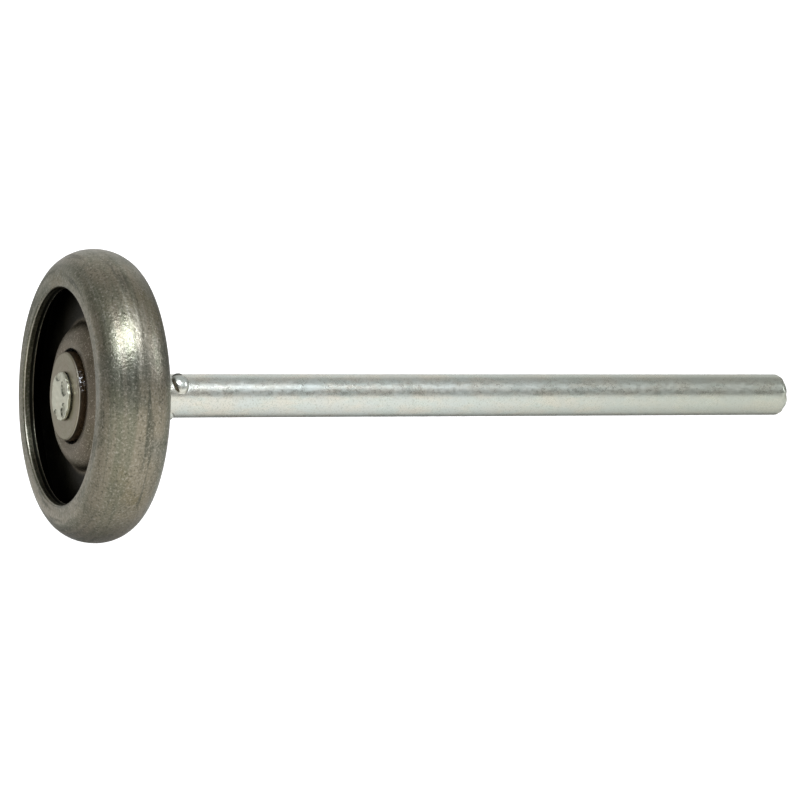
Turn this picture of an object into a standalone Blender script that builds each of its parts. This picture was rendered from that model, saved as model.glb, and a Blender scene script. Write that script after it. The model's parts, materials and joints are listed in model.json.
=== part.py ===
"""Garage-door track roller: a rolled steel wheel turning on ten loose balls at the end of a long plated stem.

Metres, +Z up. The origin is the wheel's centre. The wheel spins about +Y, and the stem runs towards +Y.
Every turned piece is drawn with its axis along its own +Z and then laid over so that +Z points along +Y.
"""

import math

import bmesh
import bpy
from mathutils import Matrix

MM = 0.001
GAP = 0.3 * MM  # left between two pieces that touch

# Stem: a 7/16 inch rod, staked at the wheel end and chamfered at the other
STEM_RADIUS = 5.556 * MM
STEM_TAIL = 198.6 * MM
TAIL_CHAMFER = 1.1 * MM  # across the stem
TAIL_CHAMFER_LENGTH = 1.7 * MM
HEAD_RADIUS = 5.95 * MM
HEAD_ROUND = 0.25 * MM
HEAD_PROUD = 1.05 * MM
HEAD_SCOOPS = 5
SCOOP_RADIUS = 1.75 * MM
SCOOP_DEPTH = 0.6 * MM
SCOOP_RING = 5.0 * MM
SCOOP_FIRST = math.radians(37.0)

# Three ears swaged out of the stem stop the bearing sliding along it
EARS = 3
EAR_PLACE = 21.6 * MM
EAR_LENGTH = 4.6 * MM
EAR_WIDTH = 5.2 * MM
EAR_HEIGHT = 1.2 * MM
EAR_FIRST = math.radians(-35.0)

# Tire: one ring of sheet, rolled to a half-round with both edges turned in
TIRE_RADIUS = 37.1 * MM
TIRE_WIDTH = 18.35 * MM
TIRE_CROWN = 6.9 * MM  # radial half-axis of the half-round
TIRE_SHEET = 2.8 * MM
TIRE_BORE = 27.4 * MM
TIRE_EDGE_ROUND = 0.65 * MM

# Bearing: balls between two cones on the stem and a race pressed into the hub shells
BALLS = 10
BALL_RADIUS = 3.969 * MM
BALL_RING = 13.0 * MM
RACE_CLEARANCE = 0.13 * MM
CONE_RADIUS = 11.1 * MM
CONE_FACE = 7.65 * MM
CONE_CHAMFER = 0.35 * MM

# Hub shells: two sheet discs back to back, each with half of the outer race
HUB_SHEET = 2.2 * MM
HUB_BORE = 11.93 * MM
HUB_RADIUS = 33.65 * MM
HUB_FILLET = 1.1 * MM
HUB_EDGE = 0.4 * MM

# Spacer sleeve between the rear cone and the ears
SPACER_RADIUS = 6.9 * MM
SPACER_END = 18.3 * MM

HEAD_FACE = -(CONE_FACE + HEAD_PROUD)  # where the staked head ends

# Smoothness of the round shapes
TIRE_STEPS = 56
HUB_STEPS = 44
STEM_STEPS = 32
BALL_SEGMENTS, BALL_RINGS = 14, 8
SWELL_SEGMENTS, SWELL_RINGS = 14, 9
EDGE_POINTS, FILLET_POINTS, GROOVE_POINTS, DOME_POINTS = 2, 3, 6, 8
TIRE_OUTSIDE_POINTS, TIRE_INSIDE_POINTS = 16, 10
WELD = 0.01 * MM

FORWARD = (-math.pi / 2, 0, 0)  # a piece's own +Z lies along +Y
BACKWARD = (math.pi / 2, 0, 0)  # a piece's own +Z lies along -Y


def clear_scene():
    for obj in list(bpy.data.objects):
        bpy.data.objects.remove(obj, do_unlink=True)


def new_collection(name, helper=False):
    collection = bpy.data.collections.new(name)
    bpy.context.scene.collection.children.link(collection)
    collection.hide_render = helper
    return collection


def material(name, color, roughness, metallic=1.0):
    made = bpy.data.materials.new(name)
    made.use_nodes = True
    shader = made.node_tree.nodes["Principled BSDF"]
    shader.inputs["Base Color"].default_value = (*color, 1.0)
    shader.inputs["Roughness"].default_value = roughness
    shader.inputs["Metallic"].default_value = metallic
    return made


def add_object(name, mesh, collection, finish=None):
    obj = bpy.data.objects.new(name, mesh)
    collection.objects.link(obj)
    if finish is not None:
        mesh.materials.append(finish)
    return obj


def arc(center, radii, start, end, steps):
    """Points of an ellipse's arc in the profile plane. Angles are in degrees from the outward radius."""
    points = []
    for i in range(steps + 1):
        angle = math.radians(start + (end - start) * i / steps)
        points.append((center[0] + radii[0] * math.cos(angle), center[1] + radii[1] * math.sin(angle)))
    return points


def profile_mesh(name, points, closed):
    """A profile's outline, as (radius, height) points, running down its outer side."""
    mesh = bpy.data.meshes.new(name)
    edges = [(i, i + 1) for i in range(len(points) - 1)]
    if closed:
        edges.append((len(points) - 1, 0))
    mesh.from_pydata([(radius, 0.0, height) for radius, height in points], edges, [])
    return mesh


def screw(obj, steps):
    turn = obj.modifiers.new("Turn", "SCREW")
    turn.axis = "Z"
    turn.steps = steps
    turn.render_steps = steps
    turn.use_merge_vertices = True
    turn.merge_threshold = WELD
    turn.use_smooth_shade = True


def turned(name, points, steps, closed, collection, finish, rotation=FORWARD):
    obj = add_object(name, profile_mesh(name, points, closed), collection, finish)
    obj.rotation_euler = rotation
    screw(obj, steps)
    return obj


def boolean(obj, tool, operation):
    modifier = obj.modifiers.new(tool.name, "BOOLEAN")
    modifier.operation = operation
    modifier.object = tool


def helper_object(name, mesh, collection):
    tool = add_object(name, mesh, collection)
    tool.hide_render = True
    tool.display_type = "WIRE"
    return tool


def ellipsoids(name, places, radii, collection):
    """One mesh of equal ellipsoids, each at an angle round the axis, a distance from it and a height."""
    shapes = bmesh.new()
    for angle, reach, height in places:
        place = Matrix.Rotation(angle, 4, "Z") @ Matrix.Translation((reach, 0, height))
        bmesh.ops.create_uvsphere(
            shapes,
            u_segments=SWELL_SEGMENTS,
            v_segments=SWELL_RINGS,
            radius=1.0,
            matrix=place @ Matrix.Diagonal((*radii, 1.0)),
        )
    mesh = bpy.data.meshes.new(name)
    shapes.to_mesh(mesh)
    shapes.free()
    return helper_object(name, mesh, collection)


def stem_profile():
    head_root = -(CONE_FACE + GAP)
    return [
        (0.0, STEM_TAIL),
        (STEM_RADIUS - TAIL_CHAMFER, STEM_TAIL),
        (STEM_RADIUS, STEM_TAIL - TAIL_CHAMFER_LENGTH),
        (STEM_RADIUS, head_root),
        (HEAD_RADIUS, head_root),
        (HEAD_RADIUS, HEAD_FACE + HEAD_ROUND),
        (HEAD_RADIUS - HEAD_ROUND, HEAD_FACE),
        (0.0, HEAD_FACE),
    ]


def build_stem(parts, helpers, finish):
    stem = turned("stem", stem_profile(), STEM_STEPS, False, parts, finish)
    ear_places = [(EAR_FIRST + i * math.tau / EARS, STEM_RADIUS, EAR_PLACE) for i in range(EARS)]
    ears = ellipsoids("ear_shapes", ear_places, (EAR_HEIGHT, EAR_WIDTH / 2, EAR_LENGTH / 2), helpers)
    scoop_places = [
        (SCOOP_FIRST + i * math.tau / HEAD_SCOOPS, SCOOP_RING, HEAD_FACE) for i in range(HEAD_SCOOPS)
    ]
    scoops = ellipsoids("scoop_shapes", scoop_places, (SCOOP_RADIUS, SCOOP_RADIUS, SCOOP_DEPTH), helpers)
    for tool in (ears, scoops):
        tool.rotation_euler = FORWARD
    boolean(stem, ears, "UNION")
    boolean(stem, scoops, "DIFFERENCE")


def tire_profile():
    """Down the outside from the rear edge to the front one, and back up the inside."""
    half = TIRE_WIDTH / 2
    crown = TIRE_RADIUS - TIRE_CROWN
    corner = TIRE_BORE + TIRE_EDGE_ROUND
    inner_half = half - TIRE_SHEET
    edge = (TIRE_EDGE_ROUND, TIRE_EDGE_ROUND)
    rear_edge = arc((corner, half - TIRE_EDGE_ROUND), edge, 180, 90, EDGE_POINTS)
    outside = arc((crown, 0.0), (TIRE_CROWN, half), 90, -90, TIRE_OUTSIDE_POINTS)
    front_edge = arc((corner, TIRE_EDGE_ROUND - half), edge, 270, 180, EDGE_POINTS)
    inside = arc((crown, 0.0), (TIRE_CROWN - TIRE_SHEET, inner_half), -90, 90, TIRE_INSIDE_POINTS)
    return rear_edge + outside + front_edge + [(TIRE_BORE, -inner_half)] + inside + [(TIRE_BORE, inner_half)]


def build_tire(parts, finish):
    turned("tire", tire_profile(), TIRE_STEPS, True, parts, finish)


def hub_profile():
    """One shell, its dome towards -Z: the web's back face, its rim, its front face, then the race."""
    groove = BALL_RADIUS + RACE_CLEARANCE
    dome = groove + HUB_SHEET
    back = -GAP / 2
    front = back - HUB_SHEET
    # where the dome's own curve, widened by the fillet, comes down to the web's front face
    foot = math.degrees(math.asin((front - HUB_FILLET) / (dome + HUB_FILLET)))
    fillet_center = (
        BALL_RING + (dome + HUB_FILLET) * math.cos(math.radians(foot)),
        front - HUB_FILLET,
    )
    lip = 180 + math.degrees(math.acos((BALL_RING - HUB_BORE) / dome))
    groove_start = math.degrees(math.asin(back / groove))
    points = [
        (HUB_RADIUS - HUB_EDGE, back),
        (HUB_RADIUS, back - HUB_EDGE),
        (HUB_RADIUS, front + HUB_EDGE),
        (HUB_RADIUS - HUB_EDGE, front),
    ]
    points += arc(fillet_center, (HUB_FILLET, HUB_FILLET), 90, 180 + foot, FILLET_POINTS)
    points += arc((BALL_RING, 0.0), (dome, dome), foot, lip - 360, DOME_POINTS)[1:]
    points += arc((BALL_RING, 0.0), (groove, groove), lip - 360, groove_start, DOME_POINTS)
    return points


def build_hub_shells(parts, finish):
    turned("front_hub_shell", hub_profile(), HUB_STEPS, True, parts, finish, FORWARD)
    turned("rear_hub_shell", hub_profile(), HUB_STEPS, True, parts, finish, BACKWARD)


def cone_profile():
    """One cone, its flange towards -Z: its groove under the balls, its side, its face and its bore."""
    groove = BALL_RADIUS + RACE_CLEARANCE
    bore = STEM_RADIUS + GAP
    start = math.degrees(math.asin(GAP / 2 / groove))
    end = math.degrees(math.acos((BALL_RING - CONE_RADIUS) / groove))
    points = [(bore, -GAP / 2)]
    points += arc((BALL_RING, 0.0), (groove, groove), 180 + start, 180 + end, GROOVE_POINTS)
    points += [
        (CONE_RADIUS, CONE_CHAMFER - CONE_FACE),
        (CONE_RADIUS - CONE_CHAMFER, -CONE_FACE),
        (bore, -CONE_FACE),
    ]
    return points


def build_cones(parts, finish):
    turned("front_race_cone", cone_profile(), STEM_STEPS, True, parts, finish, FORWARD)
    turned("rear_race_cone", cone_profile(), STEM_STEPS, True, parts, finish, BACKWARD)


def build_spacer(parts, finish):
    bore = STEM_RADIUS + GAP
    start = CONE_FACE + GAP
    profile = [(bore, SPACER_END), (SPACER_RADIUS, SPACER_END), (SPACER_RADIUS, start), (bore, start)]
    turned("rear_spacer", profile, STEM_STEPS, True, parts, finish)


def build_balls(parts, finish):
    shape = bmesh.new()
    bmesh.ops.create_uvsphere(shape, u_segments=BALL_SEGMENTS, v_segments=BALL_RINGS, radius=BALL_RADIUS)
    mesh = bpy.data.meshes.new("ball")
    shape.to_mesh(mesh)
    shape.free()
    mesh.materials.append(finish)
    mesh.shade_smooth()
    orbit = bpy.data.objects.new("ball_orbit", None)
    parts.objects.link(orbit)
    for i in range(BALLS):
        angle = i * math.tau / BALLS
        ball = add_object(f"ball_{i + 1:02d}", mesh, parts)
        ball.location = (BALL_RING * math.sin(angle), 0.0, BALL_RING * math.cos(angle))
        ball.parent = orbit


def main():
    clear_scene()
    parts = new_collection("garage_door_roller")
    helpers = new_collection("cutters", helper=True)
    plated = material("zinc_plated_steel", (0.66, 0.69, 0.64), 0.34)
    rolled = material("oiled_bare_steel", (0.30, 0.28, 0.25), 0.42)
    pressed = material("pressed_steel", (0.27, 0.25, 0.22), 0.50)
    hardened = material("hardened_race_steel", (0.36, 0.34, 0.29), 0.38)
    polished = material("polished_ball_steel", (0.62, 0.62, 0.62), 0.12)
    build_stem(parts, helpers, plated)
    build_tire(parts, rolled)
    build_hub_shells(parts, pressed)
    build_cones(parts, hardened)
    build_spacer(parts, pressed)
    build_balls(parts, polished)


main()
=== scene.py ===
"""Looks for the garage-door track roller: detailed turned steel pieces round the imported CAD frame.

Metres, +Z up. The wheel spins about the Y axis, which runs through the origin, and the stem
runs towards +Y.
Angles round the axis are clockwise from the top, seen from the wheel's open front.
"""

import json
import math

import bmesh
import bpy
import numpy as np
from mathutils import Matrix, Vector

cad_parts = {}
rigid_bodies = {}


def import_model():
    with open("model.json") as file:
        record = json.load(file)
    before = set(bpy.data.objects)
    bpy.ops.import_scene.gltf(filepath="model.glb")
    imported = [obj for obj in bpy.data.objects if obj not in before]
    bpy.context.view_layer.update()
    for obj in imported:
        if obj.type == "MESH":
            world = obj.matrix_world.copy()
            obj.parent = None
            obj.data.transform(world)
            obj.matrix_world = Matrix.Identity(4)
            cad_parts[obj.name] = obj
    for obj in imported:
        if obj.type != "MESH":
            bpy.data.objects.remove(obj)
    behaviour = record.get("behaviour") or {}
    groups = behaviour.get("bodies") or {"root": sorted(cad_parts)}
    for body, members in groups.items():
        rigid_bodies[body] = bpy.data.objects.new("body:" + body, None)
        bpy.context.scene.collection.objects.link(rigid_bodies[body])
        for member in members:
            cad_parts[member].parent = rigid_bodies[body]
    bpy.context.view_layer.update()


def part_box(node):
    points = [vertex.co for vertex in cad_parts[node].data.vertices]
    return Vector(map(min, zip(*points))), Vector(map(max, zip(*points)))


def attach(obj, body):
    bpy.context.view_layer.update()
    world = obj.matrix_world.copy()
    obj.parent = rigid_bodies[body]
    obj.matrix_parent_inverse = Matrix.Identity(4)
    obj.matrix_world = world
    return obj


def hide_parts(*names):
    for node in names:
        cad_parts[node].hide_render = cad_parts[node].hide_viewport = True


for thing in list(bpy.data.objects):
    bpy.data.objects.remove(thing)

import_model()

MM = 0.001
TAU = math.tau


def size_of(node):
    """A turned node's largest radius, and its two ends along the axis."""
    low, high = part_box(node)
    return high.x, low.y, high.y


# ---------------------------------------------------------------- shapes


def fade(values, start, end):
    """0 at start, 1 at end, and a soft step in between."""
    t = np.clip((values - start) / (end - start), 0.0, 1.0)
    return t * t * (3 - 2 * t)


def bell(values, middle, width, power=2):
    """1 at the middle, falling away to nearly nothing two widths from it."""
    return np.exp(-(((values - middle) / width) ** power))


def turn_to(angle, middle):
    """The angle measured from middle, from -pi to pi."""
    return (angle - middle + math.pi) % TAU - math.pi


def waves(points, length, seed, count=20):
    """A soft random height, mostly from -1 to 1, made of plane waves about that long."""
    rng = np.random.default_rng(seed)
    heading = rng.normal(size=(3, count))
    heading *= TAU / (np.linalg.norm(heading, axis=0) * length * rng.uniform(0.7, 1.5, count))
    phases = rng.uniform(0, TAU, count)
    return np.cos(points @ heading + phases).sum(axis=1) * math.sqrt(1.2 / count)


def grid_points(radius, place, angle):
    """The points of a lathe's grid, one row each."""
    across, up = radius * np.sin(angle), radius * np.cos(angle)
    return np.stack([across, place, up], axis=-1).reshape(-1, 3)


def lumps_on(grid, length, seed, count=20):
    """waves() over a lathe's grid, given as (radius, place, angle)."""
    return waves(grid_points(*grid), length, seed, count).reshape(grid[0].shape)


def arc(center, radii, start, end, steps):
    """Points of an ellipse's arc, as (radius, place).

    Angles are in degrees from the outward radius.
    """
    angle = np.radians(np.linspace(start, end, steps + 1))
    return [
        (center[0] + radii[0] * math.cos(a), center[1] + radii[1] * math.sin(a)) for a in angle
    ]


def eased(corners, rounding, steps=4):
    """A polyline whose inner corners are rounded: one radius for each, 0 for a sharp one."""
    points = [Vector(c) for c in corners]
    made = [points[0]]
    for before, here, after, radius in zip(points, points[1:], points[2:], rounding):
        if radius == 0:
            made.append(here)
            continue
        into, out = (before - here).normalized(), (after - here).normalized()
        half = into.angle(out) / 2
        reach = radius / math.tan(half)
        center = here + (into + out).normalized() * radius / math.sin(half)
        start, end = here + into * reach - center, here + out * reach - center
        for i in range(steps + 1):
            spoke = start.lerp(end, i / steps).normalized()
            made.append(center + spoke * radius)
    made.append(points[-1])
    return [tuple(p) for p in made]


def spaced(points, step, closed):
    """The same line with no stretch longer than step."""
    ends = points[1:] + points[:1] if closed else points[1:]
    made = []
    for a, b in zip(points, ends):
        count = max(1, math.ceil(math.dist(a, b) / step - 1e-9))
        made += [
            (a[0] + (b[0] - a[0]) * i / count, a[1] + (b[1] - a[1]) * i / count)
            for i in range(count)
        ]
    return made if closed else made + [points[-1]]


def lathe(name, profile, segments, closed=True, shape=None):
    """A turned mesh.

    shape(radius, place, angle) moves the grid's points and says how much painted shade, painted
    highlight or grime each one has.
    """
    line = np.array(profile)
    angle = np.arange(segments) * TAU / segments
    radius = np.repeat(line[:, :1], segments, axis=1)
    place = np.repeat(line[:, 1:], segments, axis=1)
    angle = np.repeat(angle[None, :], len(line), axis=0)
    grime_and_painted_light = None
    if shape is not None:
        radius, place, grime_and_painted_light = shape(radius, place, angle)
    points = grid_points(radius, place, angle)
    rows = np.arange(len(line))
    pairs = np.stack([rows, (rows + 1) % len(line)], axis=1)[: None if closed else -1]
    column = np.arange(segments)
    after = (column + 1) % segments
    first, second = pairs[:, :1] * segments, pairs[:, 1:] * segments
    corners = [first + column, second + column, second + after, first + after]
    return mesh_object(name, points, np.stack(corners, axis=-1).reshape(-1, 4), grime_and_painted_light)


def mesh_object(name, points, faces, grime_and_painted_light=None):
    """A smooth object whose points may carry painted light and grime: -1 for a painted highlight, 1
    for painted shade or grime.
    """
    mesh = bpy.data.meshes.new(name)
    mesh.from_pydata(points.tolist(), [], faces.tolist())
    if grime_and_painted_light is not None:
        values = np.clip(grime_and_painted_light, -1.0, 1.0).astype(np.float32).ravel()
        mesh.attributes.new("grime_and_painted_light", "FLOAT", "POINT").data.foreach_set("value", values)
    shape = bmesh.new()
    shape.from_mesh(mesh)
    bmesh.ops.remove_doubles(shape, verts=shape.verts, dist=1e-7)
    bmesh.ops.recalc_face_normals(shape, faces=shape.faces)
    shape.to_mesh(mesh)
    shape.free()
    mesh.shade_smooth()
    made = bpy.data.objects.new(name, mesh)
    bpy.context.scene.collection.objects.link(made)
    return made


# ---------------------------------------------------------------- shader nodes


class Finish:
    """A material whose nodes are added one call at a time.

    Each call returns the new node's result.
    """

    def __init__(self, name):
        self.material = bpy.data.materials.new(name)
        self.material.use_nodes = True
        self.tree = self.material.node_tree
        self.shader = self.tree.nodes["Principled BSDF"]

    def feed(self, socket, value):
        """Sets a socket, or links it where the value is another node's result."""
        if isinstance(value, bpy.types.NodeSocket):
            self.tree.links.new(value, socket)
        elif isinstance(value, tuple) and socket.type == "RGBA":
            socket.default_value = (*value, 1.0)
        else:
            socket.default_value = value

    def add(self, kind, inputs, output=0, **settings):
        """A new node with these inputs and settings. It gives the output with that number."""
        made = self.tree.nodes.new(kind)
        for key, value in settings.items():
            setattr(made, key, value)
        for key, value in inputs.items():
            self.feed(made.inputs[key], value)
        return made.outputs[output]

    def math(self, operation, *values):
        """One sum of two or three values."""
        return self.add("ShaderNodeMath", dict(enumerate(values)), operation=operation)

    def mix(self, factor, first, second):
        """Colours mixed: first at 0, second at 1."""
        inputs = {0: factor, 6: first, 7: second}
        return self.add("ShaderNodeMix", inputs, 2, data_type="RGBA")

    def span(self, value, low, high, out_low=0.0, out_high=1.0):
        """The value taken smoothly from low and high to out_low and out_high."""
        return self.add(
            "ShaderNodeMapRange",
            {0: value, 1: low, 2: high, 3: out_low, 4: out_high},
            interpolation_type="SMOOTHSTEP",
        )

    def noise(self, vector, scale, detail=3.0, rough=0.55, w=None):
        """Soft noise from 0 to 1, in four dimensions where w is given."""
        inputs = {"Vector": vector, "Scale": scale, "Detail": detail, "Roughness": rough}
        if w is None:
            return self.add("ShaderNodeTexNoise", inputs)
        inputs["W"] = w
        return self.add("ShaderNodeTexNoise", inputs, noise_dimensions="4D")

    def place(self):
        """The point on the piece: its vector, then x, y and z."""
        vector = self.add("ShaderNodeTexCoord", {}, 3)
        split = self.tree.nodes.new("ShaderNodeSeparateXYZ")
        self.tree.links.new(vector, split.inputs[0])
        return (vector, *split.outputs)

    def vector(self, x, y, z):
        return self.add("ShaderNodeCombineXYZ", {0: x, 1: y, 2: z})

    def round_axis(self):
        """The axis distance, and the sine and cosine of the angle round it."""
        _, x, _, z = self.place()
        squares = self.math("ADD", self.math("MULTIPLY", x, x), self.math("MULTIPLY", z, z))
        radius = self.math("SQRT", squares)
        safe = self.math("MAXIMUM", radius, 0.0001)
        return radius, self.math("DIVIDE", x, safe), self.math("DIVIDE", z, safe)

    def hoops(self, turns, fine, seed, detail=3.0, rough=0.55):
        """Noise drawn out round the axis.

        turns is how quickly it changes on the way round. fine is how quickly it changes in a
        metre along the axis, or outward from it.
        """
        radius, sine, cosine = self.round_axis()
        place = self.place()[2]
        vector = self.vector(
            self.math("MULTIPLY", sine, turns),
            self.math("MULTIPLY", place, fine),
            self.math("MULTIPLY", cosine, turns),
        )
        w = self.math("MULTIPLY_ADD", radius, fine, seed)
        return self.noise(vector, 1.0, detail, rough, w)

    def paint_grime_and_light(self, color, shade_and_grime_color, painted_highlight_color):
        """The mesh's painted shade and grime, from 0 to 1, or its painted highlights, from 0 to -1,
        over the colour.

        It returns the colour, and how much of the metal shows.
        """
        grime_and_painted_light = self.add("ShaderNodeAttribute", {}, 2, attribute_name="grime_and_painted_light")
        color = self.mix(self.span(grime_and_painted_light, 0.0, -1.0), color, painted_highlight_color)
        color = self.mix(self.span(grime_and_painted_light, 0.0, 1.0), color, shade_and_grime_color)
        return color, self.span(grime_and_painted_light, 0.4, 1.0, 1.0, 0.0)

    def bump(self, height, distance, strength=1.0, normal=None):
        """A normal roughened by the height, on top of another normal where one is given."""
        inputs = {"Height": height, "Distance": distance, "Strength": strength}
        if normal is not None:
            inputs["Normal"] = normal
        return self.add("ShaderNodeBump", inputs)

    def done(self, **inputs):
        """Feeds the shader, whose inputs are named with _ for a space. It gives the material."""
        for key, value in inputs.items():
            self.feed(self.shader.inputs[key.replace("_", " ")], value)
        return self.material


def zinc_plate():
    """Bright zinc plate: clear and greenish, with faint clouds, drawn streaks and small pits."""
    f = Finish("zinc_plate")
    vector, x, y, z = f.place()
    drawn = f.vector(
        f.math("MULTIPLY", x, 1500.0),
        f.math("MULTIPLY", y, 60.0),
        f.math("MULTIPLY", z, 1500.0),
    )
    streaks = f.noise(drawn, 1.0, 4.0, 0.6)
    grain = f.noise(vector, 2300.0, 4.0, 0.6)
    clouds = f.noise(vector, 140.0, 3.0, 0.55)
    warm = f.noise(f.vector(x, f.math("MULTIPLY_ADD", y, 0.35, 3.1), z), 330.0, 4.0, 0.6)
    color = f.mix(f.span(warm, 0.36, 0.62), (0.66, 0.715, 0.655), (0.735, 0.715, 0.620))
    color = f.mix(f.span(clouds, 0.35, 0.7, 0.0, 0.7), color, (0.69, 0.735, 0.70))
    color = f.mix(f.span(grain, 0.50, 0.32, 0.0, 0.6), color, (0.42, 0.44, 0.38))
    color = f.mix(f.span(streaks, 0.36, 0.24, 0.0, 0.35), color, (0.52, 0.54, 0.48))
    # the plating is painted darker and warmer towards the tail: painted shade where the light falls
    # off
    tail = f.span(y, 0.06, 0.20)
    color = f.mix(f.math("MULTIPLY", tail, 0.62), color, (0.395, 0.415, 0.335))
    # plating on the staked head is duller and yellower, and painted shade darkens every fold and
    # crease
    head = f.span(y, -0.0074, -0.0082)
    color = f.mix(f.math("MULTIPLY", head, 0.75), color, (0.70, 0.69, 0.54))
    color, metal = f.paint_grime_and_light(color, (0.045, 0.045, 0.03), (0.85, 0.85, 0.80))
    flecks = f.noise(f.vector(x, f.math("MULTIPLY", y, 0.6), z), 1100.0, 4.0, 0.65)
    rough = f.span(clouds, 0.3, 0.7, 0.27, 0.35)
    rough = f.math("ADD", rough, f.span(flecks, 0.35, 0.65, -0.05, 0.06))
    rough = f.math("ADD", rough, f.math("MULTIPLY", head, 0.10))
    rolled = f.hoops(5.0, 2600.0, 4.0, 3.0, 0.6)
    # the swaging ironed the plating smooth round the ears
    calm = f.span(y, 0.0240, 0.0300, 0.2, 1.0)
    normal = f.bump(flecks, 0.000011, calm)
    normal = f.bump(grain, 0.000020, 1.0, normal)
    normal = f.bump(streaks, 0.000008, 1.0, normal)
    normal = f.bump(rolled, 0.000008, 1.0, normal)
    return f.done(
        Base_Color=color,
        Metallic=metal,
        Roughness=rough,
        Specular_IOR_Level=0.1,
        Normal=normal,
    )


def oiled_steel():
    """Thinly oiled rolled steel: olive, tan and blue-grey hoops, sandy grain, dark streaks."""
    f = Finish("oiled_bare_steel")
    vector = f.place()[0]
    bands = f.hoops(0.7, 260.0, 2.0, 2.0, 0.5)
    streaks = f.hoops(1.7, 430.0, 9.2, 3.0, 0.6)
    fine = f.hoops(1.5, 1300.0, 8.5, 3.0, 0.6)
    stains = f.noise(vector, 75.0, 4.0, 0.62)
    oil = f.noise(vector, 48.0, 3.0, 0.6)
    grain = f.noise(vector, 1700.0, 3.0, 0.65)
    color = f.mix(f.span(bands, 0.40, 0.60), (0.213, 0.209, 0.150), (0.288, 0.258, 0.192))
    color = f.mix(f.span(oil, 0.54, 0.70, 0.0, 0.4), color, (0.215, 0.222, 0.205))
    color = f.mix(f.span(oil, 0.42, 0.30, 0.0, 0.7), color, (0.210, 0.182, 0.105))
    color = f.mix(f.span(stains, 0.48, 0.66, 0.0, 0.5), color, (0.135, 0.145, 0.102))
    color = f.mix(f.span(streaks, 0.53, 0.70, 0.0, 0.8), color, (0.110, 0.112, 0.082))
    color = f.mix(f.span(fine, 0.56, 0.72, 0.0, 0.5), color, (0.36, 0.34, 0.28))
    color = f.mix(f.span(fine, 0.44, 0.30, 0.0, 0.4), color, (0.14, 0.14, 0.11))
    color = f.mix(f.span(grain, 0.53, 0.68, 0.0, 0.7), color, (0.46, 0.43, 0.36))
    color = f.mix(f.span(grain, 0.47, 0.32, 0.0, 0.7), color, (0.085, 0.088, 0.062))
    # painted shade and painted highlights from the mesh, with its grime, go over the colour
    color, _ = f.paint_grime_and_light(color, (0.020, 0.021, 0.015), (0.78, 0.74, 0.62))
    rough = f.span(stains, 0.3, 0.7, 0.29, 0.37)
    rough = f.math("ADD", rough, f.span(fine, 0.3, 0.7, -0.04, 0.05))
    rough = f.math("ADD", rough, f.span(streaks, 0.45, 0.65, -0.02, 0.10))
    normal = f.bump(f.noise(vector, 620.0, 2.0, 0.5), 0.00008)
    normal = f.bump(grain, 0.00006, 1.0, normal)
    normal = f.bump(fine, 0.000016, 1.0, normal)
    return f.done(Base_Color=color, Metallic=1.0, Roughness=rough, Normal=normal)


def pressed_steel():
    """Cold-formed sheet under oil: brown-grey, brushed by the press, with pale specks."""
    f = Finish("pressed_steel")
    vector = f.place()[0]
    hoops = f.hoops(1.6, 900.0, 3.0, 3.0, 0.6)
    clouds = f.noise(vector, 160.0, 4.0, 0.6)
    grain = f.noise(vector, 2300.0, 3.0, 0.6)
    color = f.mix(f.span(clouds, 0.35, 0.68), (0.170, 0.147, 0.102), (0.225, 0.190, 0.143))
    color = f.mix(f.span(hoops, 0.42, 0.30, 0.0, 0.6), color, (0.10, 0.09, 0.062))
    color = f.mix(f.span(grain, 0.57, 0.66, 0.0, 0.8), color, (0.50, 0.45, 0.36))
    color = f.mix(f.span(grain, 0.42, 0.30, 0.0, 0.5), color, (0.09, 0.08, 0.055))
    # painted shade from the mesh, with its grime, goes over the colour
    color, _ = f.paint_grime_and_light(color, (0.016, 0.015, 0.010), (0.60, 0.55, 0.45))
    rough = f.span(clouds, 0.3, 0.7, 0.40, 0.52)
    normal = f.bump(f.noise(vector, 700.0, 2.0, 0.5), 0.00005)
    normal = f.bump(grain, 0.00003, 1.0, normal)
    normal = f.bump(hoops, 0.000014, 1.0, normal)
    return f.done(Base_Color=color, Metallic=1.0, Roughness=rough, Normal=normal)


def race_steel():
    """Turned and ground steel with an oily bloom: fine lathe rings under soft tan clouds."""
    f = Finish("race_steel")
    vector = f.place()[0]
    rings = f.hoops(3.0, 3200.0, 5.0, 2.0, 0.5)
    clouds = f.noise(vector, 210.0, 4.0, 0.6)
    grain = f.noise(vector, 2200.0, 3.0, 0.6)
    color = f.mix(f.span(clouds, 0.34, 0.68), (0.285, 0.262, 0.180), (0.340, 0.300, 0.225))
    color = f.mix(f.span(grain, 0.42, 0.28, 0.0, 0.6), color, (0.16, 0.14, 0.085))
    color = f.mix(f.span(grain, 0.58, 0.72, 0.0, 0.5), color, (0.48, 0.44, 0.34))
    # painted shade and grime on the flank, and a painted highlight on its edge, over the colour
    color, metal = f.paint_grime_and_light(color, (0.020, 0.013, 0.007), (0.90, 0.86, 0.74))
    rough = f.span(clouds, 0.3, 0.7, 0.34, 0.44)
    rough = f.math("ADD", rough, f.span(rings, 0.3, 0.7, -0.04, 0.04))
    normal = f.bump(f.noise(vector, 900.0, 2.0, 0.5), 0.00004)
    normal = f.bump(rings, 0.000006, 1.0, normal)
    normal = f.bump(grain, 0.000014, 1.0, normal)
    # where grime and painted shade darken the colour, the grazing reflection is tinted brown too
    edge = f.mix(metal, (0.22, 0.14, 0.08), (1.0, 1.0, 1.0))
    return f.done(
        Base_Color=color,
        Metallic=1.0,
        Roughness=rough,
        Specular_Tint=edge,
        Normal=normal,
    )


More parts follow.
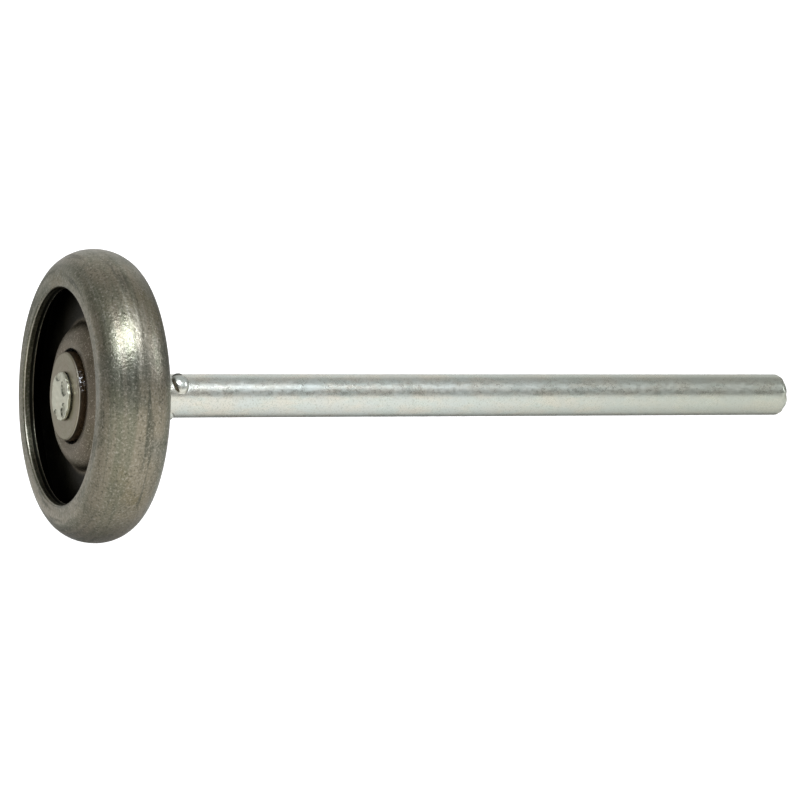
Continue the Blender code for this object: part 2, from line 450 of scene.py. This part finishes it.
def ball_steel():
    """Polished balls with a thin oily haze."""
    f = Finish("ball_steel")
    vector = f.place()[0]
    haze = f.noise(vector, 420.0, 3.0, 0.55)
    color = f.mix(f.span(haze, 0.4, 0.65), (0.55, 0.55, 0.53), (0.42, 0.38, 0.30))
    scuffs = f.noise(vector, 4200.0, 2.0, 0.5)
    return f.done(
        Base_Color=color,
        Metallic=1.0,
        Roughness=f.span(haze, 0.35, 0.7, 0.08, 0.22),
        Normal=f.bump(scuffs, 0.000004),
    )


def grease():
    """Dark brown grease: a dull film that turns lumpy and wet where it was squeezed out."""
    f = Finish("dark_grease")
    vector = f.place()[0]
    wet = f.add("ShaderNodeAttribute", {}, 2, attribute_name="grime_and_painted_light")
    lumps = f.noise(vector, 1100.0, 3.0, 0.6)
    color = f.mix(f.span(lumps, 0.4, 0.65), (0.017, 0.010, 0.004), (0.026, 0.016, 0.007))
    return f.done(
        Base_Color=color,
        Specular_IOR_Level=f.span(wet, 0.2, 0.9, 0.10, 0.5),
        Roughness=f.span(wet, 0.2, 0.9, 0.5, 0.10),
        Coat_Weight=f.span(wet, 0.3, 0.9, 0.0, 1.0),
        Coat_Roughness=0.05,
        Normal=f.bump(lumps, 0.00012, f.span(wet, 0.2, 0.9, 0.08, 1.0)),
    )


# ---------------------------------------------------------------- the stem

STEM_RADIUS = 5.556 * MM
_, HEAD_FACE, STEM_TAIL = size_of("stem")
HEAD_FACE -= 0.18 * MM  # the peened face stands a little prouder than its drawing
CONE_RADIUS, CONE_FACE, _ = size_of("front_race_cone")
GAP = 0.3 * MM
HEAD_RADIUS = 6.05 * MM
HEAD_CORNER = 0.35 * MM
# each punch mark: its angle, and in mm the ring it stands on, its size across and along, and
# its depth
SCOOPS = (
    (math.radians(57.0), 3.85, 2.10, 2.15, 0.52),
    (math.radians(142.0), 4.40, 1.65, 1.95, 0.52),
    (math.radians(212.0), 5.35, 1.20, 1.35, 0.50),
    (math.radians(281.0), 5.40, 1.20, 1.80, 0.12),
    (math.radians(351.0), 5.20, 1.35, 2.20, 0.48),
)
# each ear: its angle, where it stands along the stem, and its height
EARS = (
    (math.radians(51.0), 21.9 * MM, 1.22 * MM),
    (math.radians(172.0), 19.0 * MM, 0.80 * MM),
    (math.radians(292.0), 21.6 * MM, 1.10 * MM),
)
EAR_ALONG, EAR_ACROSS = 2.1 * MM, 3.2 * MM
CHAMFER_ALONG, CHAMFER_ACROSS = 1.3 * MM, 0.75 * MM


def staked_face(radius, angle):
    """How far the punch pushed the head's face in, and how much painted shade each mark holds."""
    depth = np.zeros_like(radius)
    grime_and_painted_light = np.zeros_like(radius)
    for middle, ring, wide, long, deep in SCOOPS:
        aside = turn_to(angle, middle)
        across = (radius * np.cos(aside) - ring * MM) / (wide * MM)
        along = radius * np.sin(aside) / (long * MM)
        far = np.sqrt(across**2 + along**2)
        floor = 0.75 + 0.25 * np.clip(-across, -1, 1)
        depth += deep * MM * floor * np.clip(1 - far**5, 0, 1) ** 0.7
        if deep > 0.2:
            depth -= 0.05 * MM * bell(far, 1.08, 0.09) * fade(across, -0.2, 0.4)
        # painted shade: a dark line on the inner side of each mark, darker ends, and a darker floor
        rim = bell(far, 0.94, 0.09) * fade(across, 0.2, -0.3)
        ends = bell(far, 0.94, 0.10) * fade(along, 0.45, 0.8)
        grime_and_painted_light += min(2 * deep, 1.0) * (0.9 * rim + 0.8 * ends + 0.34 * (far < 0.92))
    return depth, grime_and_painted_light


def build_stem():
    """The rod with its staked head, its ears and its chamfered end."""
    root = CONE_FACE - GAP
    face = [(r * MM, HEAD_FACE) for r in np.arange(0.0, 5.6, 0.1)]
    middle = (HEAD_RADIUS - HEAD_CORNER, HEAD_FACE + HEAD_CORNER)
    corner = arc(middle, (HEAD_CORNER, HEAD_CORNER), 270, 360, 5)
    flank = spaced([(HEAD_RADIUS, HEAD_FACE + 0.4 * MM), (HEAD_RADIUS, root)], 0.08 * MM, False)
    rod = [(STEM_RADIUS, y * MM) for y in np.arange(root / MM + 0.05, 18.0, 0.4)]
    rod += [(STEM_RADIUS, y * MM) for y in np.arange(18.0, 25.6, 0.14)]
    rod += [(STEM_RADIUS, y * MM) for y in np.arange(25.6, STEM_TAIL / MM - 2.4, 0.9)]
    tail = spaced(
        eased(
            [
                (STEM_RADIUS, STEM_TAIL - 2.3 * MM),
                (STEM_RADIUS, STEM_TAIL - CHAMFER_ALONG),
                (STEM_RADIUS - CHAMFER_ACROSS, STEM_TAIL),
                (0.0, STEM_TAIL),
            ],
            [0.5 * MM, 0.25 * MM],
            5,
        ),
        0.25 * MM,
        False,
    )
    profile = face + corner + flank + rod + tail

    def shape(radius, place, angle):
        grid = (radius, place, angle)
        lumps = lumps_on(grid, 2.2 * MM, 21)
        fine = lumps_on(grid, 0.8 * MM, 22, 28)
        on_head = fade(place, root + 0.1 * MM, root - 0.15 * MM)
        on_face = on_head * fade(place, root - 0.2 * MM, HEAD_FACE + 0.2 * MM)
        # the face is lumpy, scooped at the rim, and squeezed outwards between the scoops
        depth, punch_mark_shade = staked_face(radius, angle)
        ragged = (lumps * 0.07 + fine * 0.03) * MM
        swell = 0.06 * MM * np.cos(5 * (angle - SCOOPS[0][0]) + math.pi)
        outer = fade(radius, 3.5 * MM, 5.8 * MM)
        # painted shade in the punch marks, and a dark ring painted round the head's root by the cone
        grime_and_painted_light = on_head * punch_mark_shade * (0.8 + 0.4 * fine)
        grime_and_painted_light = grime_and_painted_light + 0.9 * on_head * fade(place, root - 0.25 * MM, root)
        place = place + on_face * (depth + ragged * 0.5)
        place = np.minimum(place, np.where(on_head > 0, root + 0.02 * MM, 1e9))
        radius = radius + on_head * outer * (swell + ragged + 0.10 * MM)
        # the ears, pushed out of the rod: domed, with a pinched line on the side towards the tail
        for middle, stand, height in EARS:
            along = (place - stand) / EAR_ALONG
            across = STEM_RADIUS * turn_to(angle, middle) / EAR_ACROSS
            far = np.sqrt(along**2 + across**2)
            dome = height * np.clip(1 - far**2.4, 0, 1) ** 0.5
            line = bell(far, 1.05, 0.06) * fade(along, 0.2, 0.8)
            foot = bell(far, 0.97, 0.10) * fade(along, -0.3, -0.7) * fade(across, 0.5, 0.1)
            brow_shade = bell(across, -0.60, 0.20) * fade(np.abs(along + 0.25), 0.6, 0.45)
            pushed = dome * (1 + 0.012 * fine) - 0.03 * MM * line
            radius = radius + np.where(on_head > 0, 0, pushed)
            # painted shade: the pinched line, the foot on the wheel's side and the brow along the
            # top are painted dark
            grime_and_painted_light = grime_and_painted_light + np.where(on_head > 0, 0, 0.9 * line + 0.25 * foot + 1.6 * brow_shade)
        # the rod is never quite even, and its chamfer least of all
        on_tail = fade(place, STEM_TAIL - 2.2 * MM, STEM_TAIL - 0.9 * MM)
        radius = radius + (1 - on_head) * lumps * 0.008 * MM
        radius = radius + on_tail * (lumps * 0.10 + fine * 0.035) * MM * (radius > 1 * MM)
        # painted shade along the edge of the tail's chamfer
        edge = bell(place - STEM_TAIL, -0.05 * MM, 0.12 * MM) * (radius > 4 * MM)
        grime_and_painted_light = grime_and_painted_light + 0.3 * edge * (0.7 + 0.5 * fine)
        place = place + on_tail * (lumps * 0.05 + fine * 0.02) * MM
        radius = np.clip(radius, 0, None) * (radius > 0.01 * MM)
        return radius, np.minimum(place, STEM_TAIL), grime_and_painted_light

    return lathe("plated_stem", profile, 240, closed=False, shape=shape)


# ---------------------------------------------------------------- the wheel

TIRE_RADIUS, _, TIRE_REAR = size_of("tire")
TIRE_CROWN = 6.9 * MM
TIRE_SHEET = 2.8 * MM
NICK_ANGLE, NICK_PLACE = math.radians(110), 7.5 * MM
# each patch on the tread: its angle and spread in degrees, its place and spread in mm, and its
# amount:
# below 0 a painted highlight that brightens the tread's reflection, above 0 a darker patch
PAINTED_HIGHLIGHTS_AND_DARK_PATCHES = (
    (61.0, 14.0, 0.9, 1.9, -0.34),
    (54.0, 17.0, 4.4, 2.2, -0.12),
    (40.0, 9.0, -0.2, 1.0, 0.40),
    (84.0, 9.0, -2.4, 2.2, 0.36),
)
TIRE_BORE = 27.4 * MM


def build_tire():
    """The half-round ring, open inside, with both edges turned in and sheared."""
    half = TIRE_REAR
    crown = TIRE_RADIUS - TIRE_CROWN
    inner = half - TIRE_SHEET
    lip = 0.55 * MM
    rear = arc((TIRE_BORE + lip, half - lip), (lip, lip), 180, 90, 7)
    outside = arc((crown, 0.0), (TIRE_CROWN, half), 90, -90, 84)
    front = arc((TIRE_BORE + lip, lip - half), (lip, lip), 270, 180, 7)
    # a small bead stands along the cut edge's inner corner, where the sheet was sheared
    step = 0.15 * MM
    front_cut = [(TIRE_BORE, y) for y in np.arange(lip - half + step, -inner - 0.4 * MM, step)]
    front_cut += [
        (TIRE_BORE - 0.02 * MM, -inner - 0.3 * MM),
        (TIRE_BORE - 0.14 * MM, -inner - 0.12 * MM),
        (TIRE_BORE - 0.02 * MM, -inner),
        (TIRE_BORE + 0.25 * MM, -inner),
    ]
    rear_cut = [(r, -y) for r, y in reversed(front_cut)]
    inside = arc((crown, 0.0), (TIRE_CROWN - TIRE_SHEET, inner), -90, 90, 40)
    profile = spaced(rear + outside + front + front_cut + inside + rear_cut, 0.4 * MM, True)

    def shape(radius, place, angle):
        slow = lumps_on((radius, place, angle), 16 * MM, 31)
        # rolling leaves shallow hoops round the tread that come and go
        hoop = np.stack(
            [12 * MM * np.sin(angle), place * 6.0, 12 * MM * np.cos(angle)], axis=-1
        ).reshape(-1, 3)
        rolled = waves(hoop, 9 * MM, 32, 28).reshape(radius.shape)
        outer = fade(radius, 28.5 * MM, 30.5 * MM)
        # the sheared edge is darker, and darker still where it tore
        deep = np.abs(place)
        cut = fade(deep, half - lip - 0.05 * MM, half - lip - 0.15 * MM) * (0.26 + 0.10 * rolled)
        torn = fade(deep, inner + 1.25 * MM, inner + 1.05 * MM)
        torn = torn * fade(deep, inner + 0.12 * MM, inner + 0.25 * MM)
        # painted highlight and shade at the lip: a dark line by the outer corner, bright lines on
        # its round and bead
        rim = 0.6 * bell(radius - TIRE_BORE, 0.42 * MM, 0.09 * MM) * (deep > half - 0.3 * MM)
        on_lip = radius < TIRE_BORE + 0.4 * MM
        rim -= 0.6 * bell(deep - half, -0.36 * MM, 0.11 * MM) * on_lip
        rim -= radius < TIRE_BORE - 0.06 * MM
        nick = bell(turn_to(angle, NICK_ANGLE) * TIRE_RADIUS, 0.0, 0.5 * MM)
        nick = nick * bell(place, NICK_PLACE, 0.35 * MM)
        rim += nick * (radius > TIRE_BORE + 1 * MM)
        # painted shade: the inner ellipse, a little proud of the inside wall, paints that wall near
        # black in the hollow
        wide, tall = half - 1.2 * MM, TIRE_CROWN - 1.2 * MM
        inside = fade(((radius - crown) / tall) ** 2 + (place / wide) ** 2, 1.0, 0.9)
        grime_and_painted_light = (radius < TIRE_BORE + 0.02 * MM) * np.maximum(cut, 0.95 * torn)
        grime_and_painted_light = grime_and_painted_light + rim + 0.85 * inside * (radius > TIRE_BORE + 0.1 * MM)
        tread = radius > TIRE_RADIUS - 4 * MM
        # painted highlights and darker patches on the tread
        for middle, spread, stand, wide, amount in PAINTED_HIGHLIGHTS_AND_DARK_PATCHES:
            patch = bell(turn_to(angle, math.radians(middle)), 0.0, math.radians(spread))
            patch = patch * bell(place, stand * MM, wide * MM)
            grime_and_painted_light += amount * (1 + 0.35 * rolled) * tread * patch
        return radius + outer * (slow * 0.03 + rolled * 0.010 - 0.04) * MM, place, grime_and_painted_light

    return lathe("rolled_tire", profile, 448, shape=shape)


BALLS = 10
BALL_RING = 13.0 * MM
GROOVE = 4.099 * MM
HUB_SHEET = 2.2 * MM
HUB_BORE = 11.93 * MM
HUB_FILLET = 1.1 * MM


def build_hub(name, node, side):
    """One pressed shell.

    side is -1 for the front one, whose dome stands towards -Y, and 1 for the rear one.
    """
    rim = size_of(node)[0]
    dome = GROOVE + HUB_SHEET
    back = -GAP / 2
    front = back - HUB_SHEET
    foot = math.degrees(math.asin((front - HUB_FILLET) / (dome + HUB_FILLET)))
    fillet_ring = BALL_RING + (dome + HUB_FILLET) * math.cos(math.radians(foot))
    lip = 180 + math.degrees(math.acos((BALL_RING - HUB_BORE) / dome)) - 360
    inner_lip = 180 + math.degrees(math.acos((BALL_RING - HUB_BORE - 0.02 * MM) / GROOVE)) - 360
    start = math.degrees(math.asin(back / GROOVE))
    edge = rim - 1.5 * MM
    corners = [(edge, back), (rim, back), (rim, front), (edge, front)]
    points = eased(corners, [0.5 * MM, 0.5 * MM])
    points += arc((fillet_ring, front - HUB_FILLET), (HUB_FILLET,) * 2, 90, 180 + foot, 8)
    points += arc((BALL_RING, 0.0), (dome,) * 2, foot, lip + 3, 34)[1:]
    # the dome's lip turns over in a small round before the bore
    last = points[-1][1]
    points += [(HUB_BORE + 0.03 * MM, last + 0.14 * MM), (HUB_BORE, last + 0.4 * MM)]
    points += arc((BALL_RING, 0.0), (GROOVE,) * 2, inner_lip, start, 24)
    profile = spaced(points, 0.4 * MM, True)
    profile = [(r, y * -side) for r, y in profile]

    def shape(radius, place, angle):
        soft = lumps_on((radius, place, angle), 7 * MM, 41 + side)
        outer = fade(np.abs(place), 2.0 * MM, 2.6 * MM)
        # painted shade: the web is painted nearly black from the dome's foot out, and so is the
        # race's lip, deep in the wheel
        grime_and_painted_light = fade(radius, 18.4 * MM, 20.5 * MM) * 0.88 + fade(radius, 12.25 * MM, 12.0 * MM)
        sunk = 0.3 * MM * fade(radius, 14.5 * MM, 12.3 * MM) * np.sign(place)
        sunk = sunk * (np.abs(place) > 2 * MM)
        return radius + outer * soft * 0.012 * MM, place - sunk, grime_and_painted_light

    return lathe(name, profile, 320, shape=shape)


def build_cone(name, node, side):
    """One race cone. side is -1 for the front one, which shows its turned face."""
    radius, low, high = size_of(node)
    face = max(-low, high)
    bore = STEM_RADIUS + GAP
    start = math.degrees(math.asin(GAP / 2 / GROOVE))
    end = math.degrees(math.acos((BALL_RING - radius) / GROOVE))
    flank = eased(
        [
            (radius, -face + 2.6 * MM),
            (radius, -face + 0.30 * MM),
            (radius - 0.34 * MM, -face),
            (bore + 0.3 * MM, -face),
            (bore, -face + 0.3 * MM),
            (bore, -face + 1.0 * MM),
        ],
        [0.12 * MM, 0.12 * MM, 0.1 * MM, 0.1 * MM],
    )
    groove = arc((BALL_RING, 0.0), (GROOVE,) * 2, 180 + start, 180 + end, 20)
    points = [(bore, -GAP / 2)] + groove + flank
    profile = [(r, y * -side) for r, y in spaced(points, 0.3 * MM, True)]

    def shape(radius, place, angle):
        soft = lumps_on((radius, place, angle), 5 * MM, 51 + side)
        deep = np.abs(place)
        # painted shade and grease darken the flank; a thin painted highlight lines its edge,
        # brightest upper right
        grime_and_painted_light = (radius > CONE_RADIUS - 0.05 * MM) * fade(deep, face - 0.35 * MM, face - 0.5 * MM)
        edge = bell(deep - face, -0.27 * MM, 0.07 * MM) * (radius > CONE_RADIUS - 0.40 * MM)
        painted_highlight_side = fade(np.abs(turn_to(angle, math.radians(95))), 1.3, 0.9)
        painted_glint = bell(turn_to(angle, math.radians(70)), 0.0, 0.3)
        grime_and_painted_light = grime_and_painted_light - edge * (0.10 + 0.35 * painted_highlight_side + 0.55 * painted_glint)
        return radius, place + soft * 0.012 * MM * (deep > face - 0.2 * MM), grime_and_painted_light

    return lathe(name, profile, 256, shape=shape)


def build_spacer():
    """The plain sleeve behind the rear cone."""
    radius, start, end = size_of("rear_spacer")
    bore = STEM_RADIUS + GAP
    corners = [
        (bore, (start + end) / 2),
        (bore, start),
        (radius, start),
        (radius, end),
        (bore, end),
        (bore, (start + end) / 2),
    ]
    rounded = eased(corners, [0.12 * MM, 0.3 * MM, 0.3 * MM, 0.12 * MM])[:-1]
    return lathe("spacer_sleeve", spaced(rounded, 0.35 * MM, True), 192)


def build_grease():
    """A ragged bead of grease on the cone's flank, thickest at the upper right."""
    base = CONE_RADIUS + 0.02 * MM
    back = CONE_FACE + 2.55 * MM
    front = CONE_FACE + 0.55 * MM
    across = np.linspace(0, 1, 15)
    profile = [(base, front + (back - front) * t) for t in across]
    profile += [(base + 0.3 * MM, front + (back - front) * t) for t in across[::-1]]

    def shape(radius, place, angle):
        grid = (radius, place, angle)
        lumps = lumps_on(grid, 1.1 * MM, 61, 30)
        slow = lumps_on(grid, 6 * MM, 62)
        t = (place - front) / (back - front)
        dome = np.sqrt(np.clip(4 * t * (1 - t), 0.02, 1))
        heavy = bell(turn_to(angle, math.radians(71)), 0.0, 0.27, 4)
        thick = 0.13 + 0.05 * slow + (0.02 + 0.20 * heavy) * lumps + 0.24 * heavy
        thick = np.clip(thick, 0.04, 0.66) * MM
        radius = np.where(radius > base + 0.1 * MM, base + thick * dome, base)
        return radius, place + (lumps * 0.10 - 0.3) * heavy * MM * (1 - t), heavy

    return lathe("bearing_grease", profile, 512, shape=shape)


def build_ball(name, node):
    """A round ball where the node's one is."""
    low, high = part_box(node)
    ball = bmesh.new()
    bmesh.ops.create_icosphere(ball, subdivisions=4, radius=(high.y - low.y) / 2)
    mesh = bpy.data.meshes.new(name)
    ball.to_mesh(mesh)
    ball.free()
    mesh.shade_smooth()
    made = bpy.data.objects.new(name, mesh)
    bpy.context.scene.collection.objects.link(made)
    made.location = (low + high) / 2
    return made


def dress(piece, finish, body, node=None):
    """Gives a piece its material, its body, and the CAD node that it stands for."""
    piece.data.materials.append(finish)
    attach(piece, body)
    if node is not None:
        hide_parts(node)


def build_pieces():
    """Every piece, made in turn."""
    pressed, race, ball = pressed_steel(), race_steel(), ball_steel()
    dress(build_stem(), zinc_plate(), "stem", "stem")
    dress(build_tire(), oiled_steel(), "wheel", "tire")
    for name, node, side in (
        ("hub_front", "front_hub_shell", -1),
        ("hub_rear", "rear_hub_shell", 1),
    ):
        dress(build_hub(name, node, side), pressed, "wheel", node)
    for name, node, side in (
        ("cone_front", "front_race_cone", -1),
        ("cone_rear", "rear_race_cone", 1),
    ):
        dress(build_cone(name, node, side), race, "stem", node)
    dress(build_spacer(), pressed, "stem", "rear_spacer")
    dress(build_grease(), grease(), "stem")
    for i in range(1, BALLS + 1):
        node = f"ball_{i:02d}"
        dress(build_ball(f"bearing_{node}", node), ball, "ball_set", node)


# ---------------------------------------------------------------- floor, light and camera

FLOOR = -0.12
HALL = 5.0
FLOOR_SIDES = 96
LAMP_REACH = 0.9


def build_stage():
    """A round pale floor that sweeps up into a wall, far behind everything.

    Reflections look past it at the studio's light.
    """
    profile = [(0.0, FLOOR)] + [(r, FLOOR) for r in np.linspace(0.2, HALL - 1.0, 20)]
    profile += [
        (HALL - 1.0 + math.sin(a), FLOOR + 1 - math.cos(a))
        for a in np.linspace(0.1, math.pi / 2, 12)
    ]
    profile += [(HALL, FLOOR + h) for h in (1.5, 2.0, 2.8)]
    angle = np.arange(FLOOR_SIDES) * TAU / FLOOR_SIDES
    points = np.array([(r * math.cos(a), r * math.sin(a), h) for r, h in profile for a in angle])
    faces = []
    for i in range(len(profile) - 1):
        low, high = i * FLOOR_SIDES, (i + 1) * FLOOR_SIDES
        for j in range(FLOOR_SIDES):
            k = (j + 1) % FLOOR_SIDES
            faces.append((low + j, low + k, high + k, high + j))
    floor = mesh_object("studio_floor", points, np.array(faces))
    f = Finish("pale_floor")
    paper = f.noise(f.place()[0], 40.0, 2.0, 0.5)
    color = f.mix(paper, (0.86, 0.86, 0.86), (0.88, 0.88, 0.88))
    finish = f.done(
        Base_Color=color,
        Roughness=0.9,
        Emission_Color=(1.0, 1.0, 1.0),
        Emission_Strength=0.55,
    )
    floor.data.materials.append(finish)
    floor.visible_glossy = False


def softbox(name, place, width, height, brightness, color):
    """A rectangular lamp whose face is that bright. It looks down and towards -X."""
    light = bpy.data.lights.new(name, "AREA")
    light.shape = "RECTANGLE"
    light.size = width
    light.size_y = height
    light.energy = brightness * math.pi * width * height
    light.color = color
    lamp = bpy.data.objects.new(name, light)
    lamp.location = place
    lamp.rotation_euler = Vector((-1.0, 0.0, -1.0)).to_track_quat("-Z", "Y").to_euler()
    lamp.visible_camera = False
    bpy.context.scene.collection.objects.link(lamp)


def build_light():
    """A row of long boxes up on the right, in line with the stem, in a soft room.

    The room is dim above and has pale paper below.
    """
    # each box: its start and end along the stem in reaches, how tall, how bright, and its colour
    cool, plain = (0.85, 0.91, 1.0), (0.94, 0.95, 1.0)
    row = (
        ("softbox_far", -1.22, -0.66, 0.28, 15.0, cool),
        ("softbox_near", -0.48, 0.32, 0.28, 14.0, cool),
        ("softbox_side", 0.36, 0.72, 0.42, 0.75, plain),
        ("softbox_end", 1.60, 2.90, 0.60, 6.0, plain),
    )
    for name, start, end, tall, brightness, color in row:
        place = (LAMP_REACH, (start + end) / 2 * LAMP_REACH, LAMP_REACH)
        softbox(name, place, (end - start) * LAMP_REACH, tall, brightness, color)

    world = bpy.data.worlds.new("studio")
    bpy.context.scene.world = world
    world.use_nodes = True
    tree = world.node_tree
    tree.nodes.clear()
    out = tree.nodes.new("ShaderNodeOutputWorld")
    background = tree.nodes.new("ShaderNodeBackground")
    tree.links.new(background.outputs[0], out.inputs[0])
    heading = tree.nodes.new("ShaderNodeTexCoord").outputs["Generated"]
    split = tree.nodes.new("ShaderNodeSeparateXYZ")
    tree.links.new(heading, split.inputs[0])

    def dot(direction):
        made = tree.nodes.new("ShaderNodeVectorMath")
        made.operation = "DOT_PRODUCT"
        tree.links.new(heading, made.inputs[0])
        made.inputs[1].default_value = direction
        return made.outputs["Value"]

    def span(value, low, high, out_low, out_high):
        made = tree.nodes.new("ShaderNodeMapRange")
        made.interpolation_type = "SMOOTHSTEP"
        for i, v in enumerate((low, high, out_low, out_high), 1):
            made.inputs[i].default_value = v
        tree.links.new(value, made.inputs[0])
        return made.outputs[0]

    def join(operation, first, second):
        made = tree.nodes.new("ShaderNodeMath")
        made.operation = operation
        tree.links.new(first, made.inputs[0])
        tree.links.new(second, made.inputs[1])
        return made.outputs[0]

    paper = span(dot((0.985, 0.17, 0.0)), -0.9, 0.9, 0.76, 1.40)
    above = span(split.outputs["Z"], 0.15, 0.8, 0.40, 0.53)
    mix = tree.nodes.new("ShaderNodeMix")
    tree.links.new(span(split.outputs["Z"], -0.14, 0.06, 0.0, 1.0), mix.inputs[0])
    tree.links.new(paper, mix.inputs[2])
    tree.links.new(above, mix.inputs[3])
    # a bright wall behind and another beside it, and the dark strip of table under them
    wall = span(dot(heading_of(-106, 40)), 0.80, 0.97, 0.0, 0.50)
    beside = span(dot(heading_of(-64, 3)), 0.86, 0.985, 0.0, 0.38)
    table = span(dot(heading_of(-103, -34)), 0.84, 0.97, 1.0, 0.4)
    total = join("MULTIPLY", join("ADD", join("ADD", mix.outputs[0], wall), beside), table)
    tree.links.new(total, background.inputs["Strength"])


def heading_of(azimuth, elevation):
    """A direction from the object: azimuth 0 is towards -Y and 90 towards +X."""
    a, e = math.radians(azimuth), math.radians(elevation)
    return (math.sin(a) * math.cos(e), -math.cos(a) * math.cos(e), math.sin(e))


def build_camera():
    """A long lens at the wheel's height, a little in front of square to the stem."""
    camera = bpy.data.cameras.new("camera")
    camera.sensor_width = 36.0
    camera.lens = 168.5
    camera.clip_start = 0.02
    camera.clip_end = 50.0
    holder = bpy.data.objects.new("camera", camera)
    holder.location = (0.8911, -0.3187, -0.0012)
    holder.rotation_euler = (math.radians(90.0), math.radians(0.16), math.radians(65.63))
    bpy.context.scene.collection.objects.link(holder)
    bpy.context.scene.camera = holder


build_pieces()
build_stage()
build_light()
build_camera()
bpy.context.scene.view_settings.view_transform = "Standard"

bpy.context.view_layer.update()
